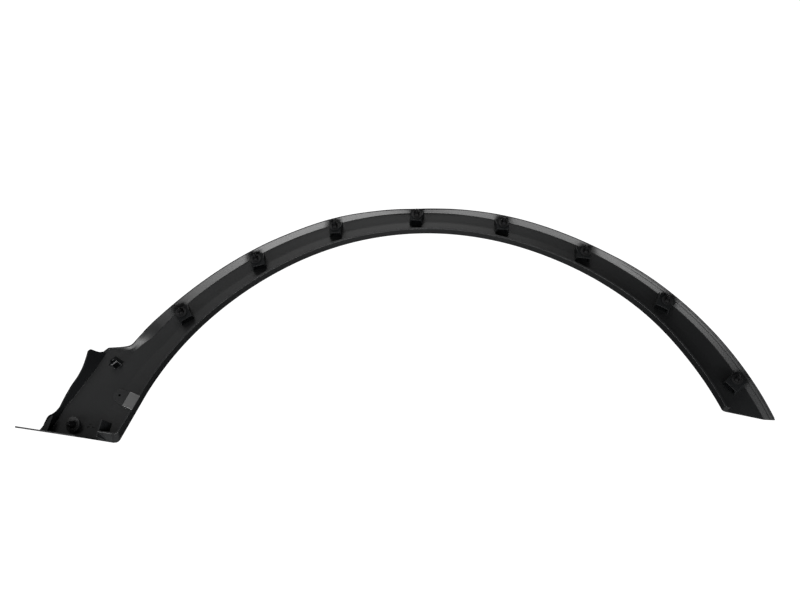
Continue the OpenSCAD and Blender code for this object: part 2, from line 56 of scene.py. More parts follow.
lens = bpy.data.cameras.new("camera")
lens.sensor_width = 36
lens.lens = 40.5
camera = bpy.data.objects.new("camera", lens)
camera.location = CAMERA_AT
camera.rotation_euler = (math.radians(90 + LOOKS_UP), 0, math.radians(TURNED_LEFT))
bpy.context.scene.collection.objects.link(camera)
bpy.context.scene.camera = camera
print("camera looks up by", LOOKS_UP, "degrees from", round(Vector(CAMERA_AT).length, 2), "m away")

# %% [markdown]
# The finishes share three effects, and each one is a node group that is built once. Four small
# helpers make a group, join sockets, and place a sum or a finished group in a tree of nodes. The same
# could be clicked together in the shader editor, but code keeps every value where it can be read.

# %% Helpers for nodes and node groups
FLOAT, VECTOR = "NodeSocketFloat", "NodeSocketVector"


def new_group(name, inputs, outputs):
    """A shader node group with its sockets, and its two end nodes."""
    group = bpy.data.node_groups.new(name, "ShaderNodeTree")
    for title, kind, value in inputs:
        socket = group.interface.new_socket(title, in_out="INPUT", socket_type=kind)
        if value is not None:
            socket.default_value = value
    for title, kind in outputs:
        group.interface.new_socket(title, in_out="OUTPUT", socket_type=kind)
    return group, group.nodes.new("NodeGroupInput"), group.nodes.new("NodeGroupOutput")


def wire(tree, pairs):
    """Joins each pair of an output and an input."""
    for start, end in pairs:
        tree.links.new(start, end)


def maths(tree, operation, numbers):
    """A Math node; numbers gives the inputs that are constant, by their place."""
    node = tree.nodes.new("ShaderNodeMath")
    node.operation = operation
    for place, value in numbers.items():
        node.inputs[place].default_value = value
    return node


def placed(tree, group, values):
    """A node group placed in a material with its own values, by the names of its inputs."""
    node = tree.nodes.new("ShaderNodeGroup")
    node.node_tree = group
    for title, value in values.items():
        node.inputs[title].default_value = value
    return node


print("node helpers ready")

# %% [markdown]
# The first effect is the fine grain of a spark eroded mould: a value that rises and falls over less
# than a millimetre. A picture of grain could do the same, but noise needs no picture and keeps its
# scale on every side.

# %% Grain group
grain_group, start, end = new_group(
    "mould_grain",
    [("Position", VECTOR, None), ("Grains per metre", FLOAT, 1400), ("Softness", FLOAT, 0.5)],
    [("Height", FLOAT)],
)
fine = grain_group.nodes.new("ShaderNodeTexNoise")
fine.inputs["Detail"].default_value = 3
cells = grain_group.nodes.new("ShaderNodeTexVoronoi")
cells.feature = "SMOOTH_F1"
both = grain_group.nodes.new("ShaderNodeMix")
wire(grain_group, [
    (start.outputs["Position"], fine.inputs["Vector"]),
    (start.outputs["Grains per metre"], fine.inputs["Scale"]),
    (start.outputs["Position"], cells.inputs["Vector"]),
    (start.outputs["Grains per metre"], cells.inputs["Scale"]),
    (start.outputs["Softness"], both.inputs["Factor"]),
    (cells.outputs["Distance"], both.inputs["A"]),
    (fine.outputs["Fac"], both.inputs["B"]),
    (both.outputs["Result"], end.inputs["Height"]),
])
print("group", grain_group.name, "has", len(grain_group.nodes), "nodes")

# %% [markdown]
# Handling leaves a moulding slightly lighter on its sharp edges. The second group finds edges from
# how pointed the surface is, breaks them up with a slow noise, and puts out a mask. Painting the wear
# by hand would need a picture for each piece.

# %% Edge rub group
rub_group, start, end = new_group(
    "edge_rub",
    [("Position", VECTOR, None), ("Low", FLOAT, 0.51), ("High", FLOAT, 0.58),
     ("Patches per metre", FLOAT, 60)],
    [("Mask", FLOAT)],
)
pointed = rub_group.nodes.new("ShaderNodeNewGeometry")
span = rub_group.nodes.new("ShaderNodeMapRange")
patches = rub_group.nodes.new("ShaderNodeTexNoise")
patches.inputs["Detail"].default_value = 2
broken = maths(rub_group, "MULTIPLY", {})
wire(rub_group, [
    (pointed.outputs["Pointiness"], span.inputs["Value"]),
    (start.outputs["Low"], span.inputs["From Min"]),
    (start.outputs["High"], span.inputs["From Max"]),
    (start.outputs["Position"], patches.inputs["Vector"]),
    (start.outputs["Patches per metre"], patches.inputs["Scale"]),
    (span.outputs["Result"], broken.inputs[0]),
    (patches.outputs["Fac"], broken.inputs[1]),
    (broken.outputs["Value"], end.inputs["Mask"]),
])
print("group", rub_group.name, "has", len(rub_group.nodes), "nodes")

# %% [markdown]
# Plastic never cools evenly, so wide soft clouds of slightly different sheen run through the face,
# stretched along the flow. The third group makes those clouds as a mask around one half.

# %% Flow cloud group
FLOW_STRETCH = (1.0, 3.0, 1.6)

cloud_group, start, end = new_group(
    "flow_clouds",
    [("Position", VECTOR, None), ("Clouds per metre", FLOAT, 9), ("Contrast", FLOAT, 1.0)],
    [("Mask", FLOAT)],
)
stretched = cloud_group.nodes.new("ShaderNodeVectorMath")
stretched.operation = "MULTIPLY"
stretched.inputs[1].default_value = FLOW_STRETCH
clouds = cloud_group.nodes.new("ShaderNodeTexNoise")
clouds.inputs["Detail"].default_value = 4
centred = maths(cloud_group, "SUBTRACT", {1: 0.5})
scaled = maths(cloud_group, "MULTIPLY_ADD", {2: 0.5})
wire(cloud_group, [
    (start.outputs["Position"], stretched.inputs[0]),
    (stretched.outputs["Vector"], clouds.inputs["Vector"]),
    (start.outputs["Clouds per metre"], clouds.inputs["Scale"]),
    (clouds.outputs["Fac"], centred.inputs[0]),
    (centred.outputs["Value"], scaled.inputs[0]),
    (start.outputs["Contrast"], scaled.inputs[1]),
    (scaled.outputs["Value"], end.inputs["Mask"]),
])
print("group", cloud_group.name, "has", len(cloud_group.nodes), "nodes")

# %% [markdown]
# Every finish on this part is a dark polymer that differs in grain, gloss and how far it is rubbed.
# One function places the three groups in a material with that finish's own values. The shader itself
# stays in the material, where the export can read it, and a value that is the same all over, such as
# how strongly the surface mirrors, is set on the shader's own socket.

# %% A function that makes each dark polymer
CLOUD_TINT, GRAIN_STRENGTH = 0.3, 0.6


def dark_polymer(name, dark, light, gloss, grains, grain_depth, rub, haze, specular=0.5,
                 ior=1.5):
    """gloss is the least and the most roughness, rub how far sharp edges lighten, and haze how
    strong the clouds are."""
    material = bpy.data.materials.new(name)
    material.use_nodes = True
    tree = material.node_tree
    shader = tree.nodes["Principled BSDF"]
    shader.inputs["Specular IOR Level"].default_value = specular
    shader.inputs["IOR"].default_value = ior
    place = tree.nodes.new("ShaderNodeTexCoord")
    grain = placed(tree, grain_group, {"Grains per metre": grains})
    edge = placed(tree, rub_group, {})
    cloud = placed(tree, cloud_group, {"Contrast": haze})
    tone = tree.nodes.new("ShaderNodeMix")
    tone.data_type = "RGBA"
    tone.inputs["A"].default_value = (*dark, 1)
    tone.inputs["B"].default_value = (*light, 1)
    amount = maths(tree, "MULTIPLY_ADD", {1: rub})
    share = maths(tree, "MULTIPLY", {1: CLOUD_TINT})
    sheen = tree.nodes.new("ShaderNodeMapRange")
    sheen.inputs["To Min"].default_value = gloss[0]
    sheen.inputs["To Max"].default_value = gloss[1]
    bump = tree.nodes.new("ShaderNodeBump")
    bump.inputs["Distance"].default_value = grain_depth
    bump.inputs["Strength"].default_value = GRAIN_STRENGTH
    for effect in (grain, edge, cloud):
        wire(tree, [(place.outputs["Object"], effect.inputs["Position"])])
    wire(tree, [
        (cloud.outputs["Mask"], share.inputs[0]),
        (edge.outputs["Mask"], amount.inputs[0]),
        (share.outputs["Value"], amount.inputs[2]),
        (amount.outputs["Value"], tone.inputs["Factor"]),
        (tone.outputs["Result"], shader.inputs["Base Color"]),
        (cloud.outputs["Mask"], sheen.inputs["Value"]),
        (sheen.outputs["Result"], shader.inputs["Roughness"]),
        (grain.outputs["Height"], bump.inputs["Height"]),
        (bump.outputs["Normal"], shader.inputs["Normal"]),
    ])
    return material


print("one function makes every finish")

# %% [markdown]
# The moulding is one black plastic, and copies of its finish paint light and shade into it.
# Roughness alone can't keep a black wall from mirroring, so each region gets a material with the same
# colours and grain, and either a lower specular level or a higher index of refraction. The lower level
# paints shade on the deep walls in and round the towers and on the wall of the foot, so they mirror
# almost nothing, and the higher index paints highlights on the front edges of the towers and the
# tongue, so they shine. The values are fitted to the tones in the photograph, and the highest ones are
# more than a real plastic has.

# %% Finishes of the moulding
moulding_look = {
    "dark": (0.0022, 0.0024, 0.0026), "light": (0.008, 0.0085, 0.009), "gloss": (0.34, 0.4),
    "grains": 1500, "grain_depth": 0.000015, "rub": 0.8, "haze": 1.0,
}
moulding_finishes_and_painted_light = {
    "panel": dark_polymer("black_moulding_plastic", **moulding_look),
    # Lower specular levels below paint shade, and higher indices of refraction paint highlights.
    "inside the towers": dark_polymer("painted_shade_tower_inside", **moulding_look, specular=0.02),
    "outside of the towers": dark_polymer("painted_shade_tower_outside", **moulding_look, specular=0.08),
    "front of the towers": dark_polymer("painted_highlight_tower_edge", **moulding_look, ior=1.952),
    "wall of the foot": dark_polymer("painted_shade_foot_wall", **moulding_look, specular=0.05),
    "tongue": dark_polymer("painted_highlight_tongue", **moulding_look, ior=3.3165),
}
print("finishes of the moulding:", list(moulding_finishes_and_painted_light))

# %% [markdown]
# The clips are a finer and duller plastic. The washers and the seal are soft rubber, which is grainier
# and a little paler, because it scatters light instead of mirroring it.

# %% Finishes of the clips, the washers and the seal
clip_plastic = dark_polymer(
    "black_clip_plastic", (0.0015, 0.0015, 0.0017), (0.005, 0.005, 0.0053), (0.42, 0.5),
    grains=2600, grain_depth=0.00001, rub=0.5, haze=0.6, specular=0.1)
washer_rubber = dark_polymer(
    "soft_washer_rubber", (0.003, 0.003, 0.0033), (0.008, 0.008, 0.0083), (0.44, 0.54),
    grains=2200, grain_depth=0.00003, rub=0.3, haze=0.8, specular=0.25)
seal_rubber = dark_polymer(
    "edge_seal_rubber", (0.007, 0.007, 0.008), (0.016, 0.016, 0.016), (0.6, 0.7),
    grains=2200, grain_depth=0.00003, rub=0.3, haze=0.8, specular=0.3)
print("finishes in all:", len(bpy.data.materials))

# %% [markdown]
# The clips and washers are turned parts, and the CAD model already has their true curves, so they
# stay and only get a finish.

# %% Finish the clips and washers
for name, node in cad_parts.items():
    if "clip" in name or "washer" in name:
        node.data.materials.clear()
        node.data.materials.append(washer_rubber if "washer" in name else clip_plastic)
print("finished", sum("clip" in n or "washer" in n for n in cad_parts), "clips and washers")

# %% [markdown]
# The moulding is one skin that follows the arch. Its section changes all the way round, so it is
# drawn as a loft: a closed outline at each of many angles, joined to the next. A swept curve with one
# outline would be quicker but couldn't widen, fan out at the shoulder or fold into the foot. The
# same curves shaped the CAD model, in steps of a few degrees. Here the steps are much finer.
#
# Sizes are in millimetres and angles in degrees from the crown, with the right end at the positive
# side.

# %% Sizes of the moulding
MM = 0.001
WHEEL = (9.018, -397.398)
ARCH_R, PANEL = 375.0, 15.0
RIGHT_END, LEFT_END, STRAIGHT_FROM = 71.2, 76.6, 67.3
RIGHT_CORNER, LEFT_CORNER = 2.2, 4.5
WALL, LIP_WALL, FACE_BOW, BEAD = 2.5, 2.6, 0.6, 1.2


def mix(a, b, x):
    return a + (b - a) * x


def ease(x):
    x = min(max(x, 0), 1)
    return x * x * (3 - 2 * x)


print("the wheel opening is", 2 * ARCH_R, "mm across")

# %% [markdown]
# Each size that changes round the arch is a curve through a few (angle, value) stops. A smooth curve
# suits a band that widens slowly, and straight runs suit a profile with sharp turns. Stops are easy to
# read off the photograph and to correct one by one, which a formula isn't.

# %% Curves through stops
def stop_before(stops, a):
    """The place in the list of the last stop that isn't beyond the angle."""
    i = 0
    while i < len(stops) - 2 and a >= stops[i + 1][0]:
        i += 1
    return i


def through(stops, a):
    """A smooth curve through (angle, value) stops."""
    i = stop_before(stops, a)

    def slope(k):
        low, high = stops[max(k - 1, 0)], stops[min(k + 1, len(stops) - 1)]
        return (high[1] - low[1]) / (high[0] - low[0])

    gap = stops[i + 1][0] - stops[i][0]
    x = min(max((a - stops[i][0]) / gap, 0), 1)
    y = 1 - x
    return (stops[i][1] * (1 + 2 * x) * y * y + stops[i + 1][1] * x * x * (3 - 2 * x)
            + gap * slope(i) * x * y * y - gap * slope(i + 1) * x * x * y)


def stepped(stops, a):
    """Straight runs between the stops."""
    i = stop_before(stops, a)
    x = (a - stops[i][0]) / (stops[i + 1][0] - stops[i][0])
    return mix(stops[i][1], stops[i + 1][1], min(max(x, 0), 1))


ramp = [(0, 0), (1, 4), (2, 4)]
print("smooth and straight at a half:", round(through(ramp, 0.5), 2), stepped(ramp, 0.5))

# %% [markdown]
# The opening edge is a circle that sags by up to 3 mm between its ends, and it runs straight down the
# foot. Both of its ends turn a rounded corner.

# %% The edge of the wheel opening
openings = [(-66, 0), (-58, -0.91), (-50, -1.898), (-42, -2.6), (-33, -2.496), (-24, -1.404),
            (-14, -0.312), (0, 0), (14, -0.99), (26, -1.8), (38, -1.116), (48, -0.36), (60, -1.5),
            (71.2, -1.275)]


def end_corner(gap, r):
    """How far a corner of radius r draws the edge back, at a gap from the end."""
    return 0 if gap >= r else r - math.sqrt(r * r - (r - max(0, gap)) ** 2)


def arc(degrees):
    return degrees * ARCH_R * math.pi / 180


def opening_r(a):
    if a < -STRAIGHT_FROM:
        edge = ARCH_R / math.cos(math.radians(a + STRAIGHT_FROM))
    else:
        edge = ARCH_R + through(openings, a)
    left = end_corner(arc(a + LEFT_END), LEFT_CORNER)
    return edge + left + end_corner(arc(RIGHT_END - a), RIGHT_CORNER)


print("opening radius at 38 degrees left:", round(opening_r(-38), 2), "mm")

# %% [markdown]
# The outer edge is a band round the arch down to the shoulder. There it becomes level, and then it
# folds down into the foot. Rounding the meeting of two curves, with a soft form of max and min, gives
# the shoulder its radius without a separate fillet.
#
# One form is corrected here. The margin along the outer edge mirrors the bright ground below the
# camera, which a slope of about 45 degrees does and a steeper one can't. So the margin is flatter and
# up to 1.6 mm wider than in the CAD model, and it ends at a shallower rim. Near the crown its edge
# stops at the top of the CAD box.

# %% The outer edge
SHOULDER_FROM, SHOULDER_Z, SHOULDER_R, FOLD_R = -54, 213.0, 7, 1.5
EDGE_TOP = 410.45
widths = [(-60, 51), (-46, 42.7), (-28, 38.6), (-17, 38), (0, 35.8), (22, 34.8), (34, 36.3),
          (44, 40.2), (60, 45), (75.6, 51.9)]
extra_widths = [(-60, 0), (-54, 1.1), (-38, 1.2), (-22, 1.5), (-15, 1.6), (-8, 1.0), (0, -0.3),
                (8, 1.0), (15, 1.6), (30, 1.55), (38, 1.2), (66, 1.0), (71.2, 0)]
folds = [(-77.2, 472), (-75.2, 466.6), (-73.2, 464), (-70, 458), (-67.2, 454.22), (-65, 453),
         (-62, 453.8)]


def round_max(a, b, r):
    return (a + b + math.sqrt((a - b) ** 2 + r * r)) / 2


def round_min(a, b, r):
    return (a + b - math.sqrt((a - b) ** 2 + r * r)) / 2


def edge_r(a):
    band = ARCH_R + through(widths, a) + through(extra_widths, a)
    if a > SHOULDER_FROM:
        return min(band, EDGE_TOP / math.cos(math.radians(a)))
    level = SHOULDER_Z / math.cos(math.radians(a))
    return round_min(round_max(band, level, SHOULDER_R), through(folds, a), FOLD_R)


print("band is", round(edge_r(0) - opening_r(0), 1), "mm wide at the crown and",
      round(edge_r(70) - opening_r(70), 1), "mm at the right end")

# %% [markdown]
# Across the band, the lip stands deepest at the two ends, and the margin starts at a line of its own
# and slopes down to the rim. The slope sets how deep the rim lies, with a limit for the shoulder. At
# the crown the margin is narrower, and a little steeper to make up for that.

# %% Lip, margin and rim
LIP_CROWN, LIP_ENDS = 13.5, 16
LAND, RIM_DEPTH = 0.9, 9.0
MARGIN_SLOPE, STEEPER_AT_CROWN, CROWN_SPAN = 46.0, 7, 11
margin_starts = [(-54, 412.4), (-46, 410.2), (-38, 408.4), (-30, 408.1), (-18, 408), (-8, 407.9),
                 (0, 406.8), (6, 406.2), (12, 405.4), (22, 405), (30, 405.6), (38, 406.7),
                 (46, 408.1), (58, 411.2), (64.5, 412.7), (67.4, 413.7), (71.2, 415.3)]


def foot_share(a):
    """0 on the arch and 1 on the foot."""
    return ease((-58 - a) / 4)


def at_crown(a):
    return ease(1 - abs(a) / CROWN_SPAN)


def lip_depth(a):
    return mix(LIP_CROWN, LIP_ENDS, ease(abs(a) / 60))


def margin_start(a):
    on_foot = 418.5 - 1.5 * (a + 59)
    return mix(through(margin_starts, a), on_foot, ease((-55 - a) / 4))


def rim_depth(a):
    run = edge_r(a) - LAND - margin_start(a)
    slope = math.radians(MARGIN_SLOPE + STEEPER_AT_CROWN * at_crown(a))
    return min(WALL + run * math.tan(slope), RIM_DEPTH)


print("rim is", round(rim_depth(0), 1), "mm deep at the crown and", round(rim_depth(50), 1),
      "mm at 50 degrees")

# %% [markdown]
# On the foot, the edge carries a leaning flange wall. It is highest beside the shoulder, dips to a
# waist and a notch, and rises again at the low end. Its profile has sharp turns, so its stops are
# joined by straight runs. Each height is tied to one of the four named ones.

# %% Height of the flange wall
WALL_FROM, WALL_LEAN = -62, 30.0
TOP, WAIST, NOTCH, LOW = 20.0, 10.7, 5.7, 11.7
wall_heights = [
    (-77.4, LOW - 7.4), (-76.4, LOW - 3.3), (-75.7, LOW - 1.2), (-74.9, LOW), (-74.5, LOW - 0.6),
    (-74.1, mix(NOTCH, LOW, 0.4)), (-73.6, NOTCH + 0.7), (-73, NOTCH),
    (-71.3, mix(NOTCH, WAIST, 0.6)), (-69.9, WAIST), (-68.4, mix(WAIST, TOP, 0.08)),
    (-67, mix(WAIST, TOP, 0.29)), (-65.8, mix(WAIST, TOP, 0.59)), (-64.35, TOP),
    (-63.86, TOP * 0.92), (-63.62, TOP * 0.59), (-63.35, TOP * 0.35), (-62.9, TOP * 0.16),
    (WALL_FROM, BEAD),
]


def rim_wall(a):
    """The height of the wall on the rim, and how far its top leans out."""
    if a >= WALL_FROM:
        return mix(0.15, BEAD, foot_share(a)), 0
    height = stepped(wall_heights, a)
    return height, height * math.tan(math.radians(WALL_LEAN))


print("flange wall is", max(height for _, height in wall_heights), "mm high at most")

# %% [markdown]
# A moulded section has no sharp corner: each one carries a radius that catches a thin line of light.
# The outline is drawn with its true corners, and a small function rounds each by its own radius. A
# bevel afterwards would give every corner the same radius. An arc takes less than half of each side,
# so that two arcs never meet, and a corner that hardly turns gets no endless one.

# %% Round the corners of an outline
LONGEST_REACH, SHARPEST = 0.45, 0.02


def rounded(corners):
    """Corners are (point, radius, steps); each one becomes an arc of steps + 1 points."""
    outline = []
    for i, (p, radius, steps) in enumerate(corners):
        to_last = corners[i - 1][0] - p
        to_next = corners[(i + 1) % len(corners)][0] - p
        before, after = to_last.normalized(), to_next.normalized()
        half = math.acos(max(-1, min(1, before.dot(after)))) / 2
        reach = radius / max(math.tan(half), SHARPEST)
        reach = min(reach, to_last.length * LONGEST_REACH, to_next.length * LONGEST_REACH)
        a, b = p + before * reach, p + after * reach
        for k in range(steps + 1):
            t = k / steps
            outline.append(a * (1 - t) ** 2 + p * 2 * t * (1 - t) + b * t * t)
    return outline


square = [(Vector(p), 0.1, 4) for p in ((0, 0), (1, 0), (1, 1), (0, 1))]
print("a rounded square has", len(rounded(square)), "points")

# %% [markdown]
# The outline has twenty corners: out along the show side, round the rim and its wall, back along the
# hidden side, and round the lip. Towards the right end the margin carries two fine grooves, which sink
# in slowly so that they fade out on the arch.

# %% The outline at one angle
RIM_FLAT = 1.5
BOWED_FACE, GROOVE_EDGE = 40, 0.05


def section(a):
    """Points are (distance from the wheel's centre, depth in from the show side)."""
    share = foot_share(a)
    r0, edge, start = opening_r(a), edge_r(a), margin_start(a)
    lip, inner = lip_depth(a), r0 + LIP_WALL
    middle = (inner + start) / 2
    back, tip = mix(rim_depth(a), WALL, share), mix(LAND, WALL - 0.3, share)
    wall_height, wall_run = rim_wall(a)
    rim_in = edge - RIM_FLAT * share - tip - 0.02
    slope_start, slope_end = Vector((start, WALL)), Vector((rim_in, back))
    slope_l = (slope_end - slope_start).length
    rise = Vector((rim_in - start, back - WALL)).normalized()
    sunk = Vector((rise[1], -rise[0])) * ease((a - 36) / 14)

    def groove(middle_at, half, depth):
        steps = [(middle_at + half, 0), (middle_at, depth), (middle_at - half, 0)]
        return [(slope_start + rise * t + sunk * d, GROOVE_EDGE, 1) for t, d in steps]

    miter = WALL * math.tan(math.atan2(rise[1], rise[0]) / 2)
    up = Vector((wall_run, wall_height)).normalized()
    top = Vector((edge - tip + wall_run, back + wall_height))
    show_side = [
        (Vector((r0, 0)), 3.0, 6), (Vector((middle, -FACE_BOW)), BOWED_FACE, 4),
        (Vector((start + miter, 0)), 2.0, 4), (Vector((rim_in + miter, back - WALL)), 1.0, 3),
    ]
    rim = [
        (Vector((edge, back - WALL)), 0.5, 3), (top + Vector((up[1], -up[0])) * tip, 0.4, 3),
        (top, 0.4, 3), (Vector((edge - tip, back)), 0.3, 3), (slope_end, 0.2, 2),
    ]
    grooves = groove(slope_l - 1.0, 0.3, 0.7) + groove(slope_l * 0.6, 0.35, 0.45)
    hidden_side = [(slope_start, 1.6, 4), (Vector((middle, WALL - FACE_BOW)), BOWED_FACE, 4)]
    lip_corners = [
        (Vector((inner, WALL)), 1.6, 4), (Vector((inner, lip)), 0.5, 3), (Vector((r0, lip)), 0.5, 3),
    ]
    return rounded(show_side + rim + grooves + hidden_side + lip_corners)


print("one outline has", len(section(0)), "points")

# %% [markdown]
# An outline is flat, and placing it at its angle turns it about the wheel's centre. Neither end of the
# real part is cut square to the arch, so the angle shifts a little across the band near both ends.

# %% Place an outline on the arch
RIGHT_SLANT, LEFT_SLANT = 4.4, 0.8
RIGHT_BAND, LEFT_BAND = 51.9, 97
LIP_END_LEAN = math.degrees(math.asin(6 / ARCH_R))


def place(a, p):
    angle = math.radians(a)
    return Vector((WHEEL[0] + p[0] * math.sin(angle), PANEL - p[1],
                   WHEEL[1] + p[0] * math.cos(angle))) * MM


def slanted(a, p):
    """Both ends run on a slant, and the left end of the lip leans back with depth."""
    out = p[0] - ARCH_R
    right = ease((a - 58) / (RIGHT_END - 58))
    left = ease((-68 - a) / (LEFT_END - 68))
    lean_back = LIP_END_LEAN * left * (1 - ease((out - 8) / 16)) * p[1] / LIP_ENDS
    return a + RIGHT_SLANT * right * out / RIGHT_BAND - LEFT_SLANT * left * out / LEFT_BAND + lean_back


print("crown of the opening in metres:", [round(v, 4) for v in place(0, (ARCH_R, 0))])

# %% [markdown]
# Joining the outlines gives a clean closed skin of four sided faces, which takes light evenly. The
# steps are finest where the shape turns fast: at both ends, and where the flange wall starts.

# %% Loft through the outlines
def loft(outlines):
    """A closed skin through outlines of equal length, with both ends capped."""
    mesh = bmesh.new()
    rings = [[mesh.verts.new(p) for p in outline] for outline in outlines]
    count = len(rings[0])
    for one, two in zip(rings, rings[1:]):
        for j in range(count):
            k = (j + 1) % count
            mesh.faces.new((one[j], two[j], two[k], one[k]))
    mesh.faces.new(rings[0])
    mesh.faces.new(list(reversed(rings[-1])))
    bmesh.ops.recalc_face_normals(mesh, faces=mesh.faces)
    return mesh


def steps_between(stops, size):
    """Angles after the first stop, up to the last, no further apart than size."""
    between = []
    for low, high in zip(stops, stops[1:]):
        parts = max(1, math.ceil((high - low) / size))
        between += [low + (high - low) * (k + 1) / parts for k in range(parts)]
    return between


angles = [-LEFT_END]
angles += steps_between([-LEFT_END, -76.4, -76.0, -75.2, -74.2], 0.12)
angles += steps_between([-74.2, -64.6], 0.3)
angles += steps_between([-64.6, -61.8], 0.1)
angles += steps_between([-61.8, -54], 0.25)
angles += steps_between([-54, 66], 0.75)
angles += steps_between([66, RIGHT_END - 0.6], 0.3)
angles += [RIGHT_END - before_end for before_end in (0.4, 0.25, 0.12, 0.04, 0)]
skin = loft([[place(slanted(a, p), p) for p in section(a)] for a in angles])
print("skin:", len(angles), "outlines,", len(skin.faces), "faces")

# %% [markdown]
# Smaller shapes stand on that skin: the clip towers, the flange under the foot, the lip and the rib.
# Each is a flat outline drawn up to a height, then its edges are bevelled by a few tenths of a
# millimetre, because a mould is never sharper than that.

# %% Helpers for the moulded blocks
SHARP_EDGE = math.radians(28)


def solid_block(outline, height, low=0.0):
    """A closed block from a flat outline in millimetres, from low to low + height along Z."""
    mesh = bmesh.new()
    bottom = [mesh.verts.new((x, y, low)) for x, y in outline]
    top = [mesh.verts.new((x, y, low + height)) for x, y in outline]
    mesh.faces.new(list(reversed(bottom)))
    mesh.faces.new(top)
    for j in range(len(outline)):
        k = (j + 1) % len(outline)
        mesh.faces.new((bottom[j], bottom[k], top[k], top[j]))
    bmesh.ops.recalc_face_normals(mesh, faces=mesh.faces)
    return mesh


def disc(radius, count=40):
    return [(radius * math.cos(2 * math.pi * k / count), radius * math.sin(2 * math.pi * k / count))
            for k in range(count)]


def bevelled(mesh, size):
    sharp = [e for e in mesh.edges if len(e.link_faces) == 2 and e.calc_face_angle(0) > SHARP_EDGE]
    bmesh.ops.bevel(mesh, geom=sharp, offset=size, segments=2, profile=0.5, affect="EDGES",
                    clamp_overlap=True)
    return mesh


print("a disc has", len(disc(1)), "points")

# %% [markdown]
# A hole or a hollow is made by taking one solid from another. The exact solver is slower than the fast
# one, but it stays right where faces lie close together, as they do in a thin wall.

# %% Helpers that cut one block out of another
def as_object(mesh, name):
    data = bpy.data.meshes.new(name)
    mesh.to_mesh(data)
    mesh.free()
    thing = bpy.data.objects.new(name, data)
    bpy.context.scene.collection.objects.link(thing)
    return thing


def carved(body, cutters):
    """body less the cutters, all of them bmeshes, with an exact boolean."""
    thing = as_object(body, "body")
    tools = [as_object(c, "cutter") for c in cutters]
    for tool in tools:
        cut = thing.modifiers.new("cut", "BOOLEAN")
        cut.operation = "DIFFERENCE"
        cut.solver = "EXACT"
        cut.object = tool
    ready = thing.evaluated_get(bpy.context.evaluated_depsgraph_get())
    mesh = bmesh.new()
    mesh.from_mesh(ready.to_mesh())
    for used in [thing] + tools:
        bpy.data.objects.remove(used)
    return mesh


print("the exact solver cuts every hole")

# %% [markdown]
# A block is drawn flat and then moved to its place with a matrix, which reads like directions: go
# there, then turn. A mirrored move turns faces inside out, so the helper turns those back.

# %% Helpers that move a block
TO_METRES = Matrix.Scale(MM, 4)
pieces = []


def turn(axis, degrees):
    return Matrix.Rotation(math.radians(degrees), 4, axis)


def shift(x, y, z):
    return Matrix.Translation((x, y, z))


def mirror(axis):
    return Matrix.Scale(-1, 4, axis)


def moved(mesh, matrix):
    bmesh.ops.transform(mesh, matrix=matrix, verts=mesh.verts)
    if matrix.determinant() < 0:
        bmesh.ops.reverse_faces(mesh, faces=mesh.faces)
    return mesh


def add(mesh, matrix):
    """Keeps a block in its place, to be joined to the skin."""
    pieces.append(moved(mesh, matrix))


print("metres in a millimetre:", TO_METRES[0][0])

# %% [markdown]
# A clip tower is a drafted box, open towards the wheel, with a round hole for the neck of its clip.
# The box is carved out rather than put together from plates, so that its walls meet cleanly. A thin
# stop finger stands out from its back corner. The space inside each tower is kept as a plain box,
# which later tells which faces get the painted shade or the painted highlight of a tower.

# %% A clip tower and its finger
TOWER_FOOT = PANEL - WALL
TOWER_WALL, NECK_R = 1.6, 3.25
hollows = []


def tower(w, front, back, draft, aside, gap):
    """gap is how far the top stays clear of the body, and aside how far it stands off its clip."""
    left, right = aside - w / 2, aside + w / 2
    body = solid_block([(left, gap), (right, gap), (right + draft, TOWER_FOOT + 1),
                        (left - draft, TOWER_FOOT + 1)], front + back, -front)
    left, right = left + TOWER_WALL, right - TOWER_WALL
    hollow = solid_block([(left, gap + 1.8), (right, gap + 1.8), (right, TOWER_FOOT - 0.5),
                          (left, TOWER_FOOT - 0.5)], front + back - 0.6, -front - 1)
    neck = moved(solid_block(disc(NECK_R), gap + 2.3), turn("X", -90))
    return carved(bevelled(body, 0.45), [hollow, neck])


def finger(w, back, aside, side):
    """side is 1 for a finger on the right of its tower and -1 for one on the left."""
    outline = [(-0.6, 1.4), (0.6, 1.4), (3.4, -back * 0.8), (2.2, -back * 0.9)]
    to_corner = shift(w / 2 - 0.4, 1, 0) @ turn("X", -90)
    if side < 0:
        to_corner = mirror((1, 0, 0)) @ to_corner
    return moved(bevelled(solid_block(outline, 12), 0.25), shift(aside, 0, 0) @ to_corner)


def keep_hollow(here, w, front, back, aside, gap):
    """Keeps the way back into a tower's own millimetres, and the box of its inner walls there."""
    half = w / 2 - 1.5
    low = (aside - half, gap + 1.6, -front - 0.2)
    hollows.append((here.inverted(), low, (aside + half, TOWER_FOOT - 0.3, back - 1.4)))


print("tower walls are", TOWER_WALL, "mm thick")

# %% [markdown]
# The eight towers stand along the band, each with its own turn and its own small differences, which
# were measured in the photograph. A ninth, smaller one on the foot is empty and leans two ways.

# %% The eight clip towers and the empty one
TOWER_W, TOWER_FRONT, TOWER_BACK, TOWER_DRAFT, TOWER_GAP = 14.4, 8.8, 7.3, 1.4, 2
EMPTY_W, EMPTY_DEEP, EMPTY_DRAFT, EMPTY_GAP = 9.8, 4.9, 0.4, 3.5
# angle, distance out, turn, extra width, extra reach, how far it stands aside
tower_places = [
    (-50.4, 27, -34, 2, 1.6, 1.6), (-33.5, 24, -16, 2, 0.8, 1.8), (-17.2, 24, -2, 0, 0.6, 0.2),
    (-1.3, 22.5, 4, 0.8, -1, -0.8), (15.5, 21.5, 3, 1, 0, -1.5), (31.9, 21.5, 9, 3, 0, -1.8),
    (49.1, 28, 30, 3, 1.6, -1.8), (67.3, 30, 52, 3, 3, 1),
]


